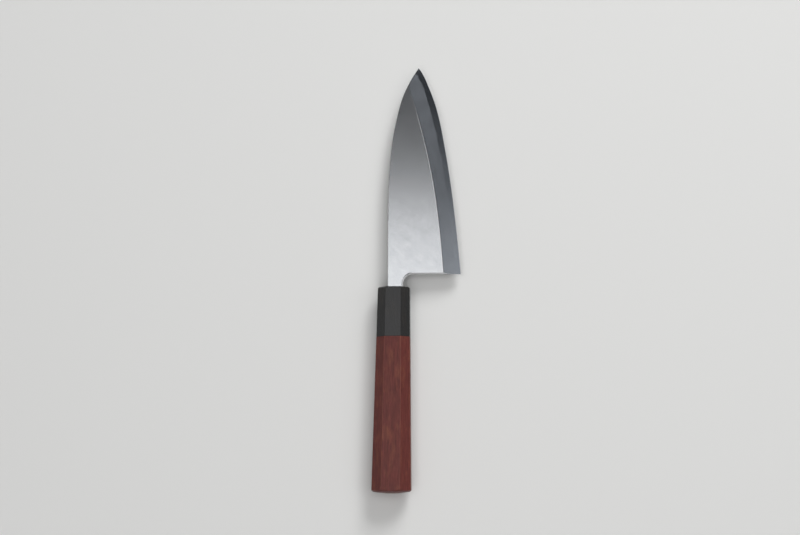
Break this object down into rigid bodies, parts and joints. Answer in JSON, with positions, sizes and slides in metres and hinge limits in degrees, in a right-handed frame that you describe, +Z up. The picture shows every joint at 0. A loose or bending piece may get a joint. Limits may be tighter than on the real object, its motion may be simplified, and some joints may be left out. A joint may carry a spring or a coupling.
{
  "type": "deba knife",
  "caption": "Heavy single-bevel fish knife with a laminated, hollow-backed blade and an eight-sided wooden handle behind a black ferrule.",
  "frame": {"origin": "centre of the bounding box in plan, at the level of the lowest point of the handle's underside", "axes": "+Y along the knife to the tip, +X from the spine to the cutting edge, +Z up out of the bevelled face"},
  "size_m": [0.0592, 0.286, 0.0218],
  "materials": {
    "soft_iron": "satin, fine lengthwise grain",
    "hard_steel": "fine stone polish",
    "black_horn": "satin",
    "rosewood": "oiled, fine lengthwise grain",
    "dowel_wood": "plain",
    "resin": "cured"
  },
  "bodies": {
    "root": {"blade_iron": "soft_iron", "edge_steel": "hard_steel", "ferrule": "black_horn", "handle_body": "rosewood", "handle_dowel": "dowel_wood", "tang_adhesive": "resin"}
  },
  "joints": []
}
